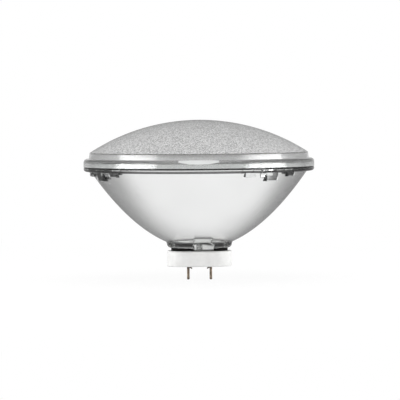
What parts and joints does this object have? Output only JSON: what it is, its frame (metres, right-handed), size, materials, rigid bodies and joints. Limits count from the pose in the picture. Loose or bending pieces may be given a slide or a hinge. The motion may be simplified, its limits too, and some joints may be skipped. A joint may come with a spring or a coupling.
{
  "type": "par spotlight bulb",
  "caption": "Sealed-beam par spotlight bulb with a stippled glass lens, a silvered glass bowl and an oblong ceramic base with two contact blades.",
  "frame": {"origin": "centre of the ceramic base's bottom face, between the two contact blades", "axes": "+Z along the bulb's axis from the base to the lens; the two blades stand side by side along X; the key flat on the rim faces -Y"},
  "size_m": [0.1778, 0.1778, 0.1231],
  "materials": {
    "lens_glass": "clear pressed glass, stippled on its dome",
    "silvered_glass": "clear pressed glass with an aluminium mirror film on its inner face",
    "tube_glass": "clear",
    "cement": "dark, matt",
    "white_ceramic": "unglazed, fine grained",
    "blade_metal": "dull, browned",
    "ferrule_metal": "oxidised",
    "lead_metal": "drawn wire",
    "tungsten": "drawn wire"
  },
  "bodies": {
    "root": {"front_lens": "lens_glass", "reflector": "silvered_glass", "exhaust_tip": "tube_glass", "cement_bed": "cement", "ceramic_base": "white_ceramic", "left_contact_blade": "blade_metal", "right_contact_blade": "blade_metal", "left_ferrule": "ferrule_metal", "right_ferrule": "ferrule_metal", "left_lead_post": "lead_metal", "right_lead_post": "lead_metal", "left_base_lead": "lead_metal", "right_base_lead": "lead_metal", "filament": "tungsten"}
  },
  "joints": []
}
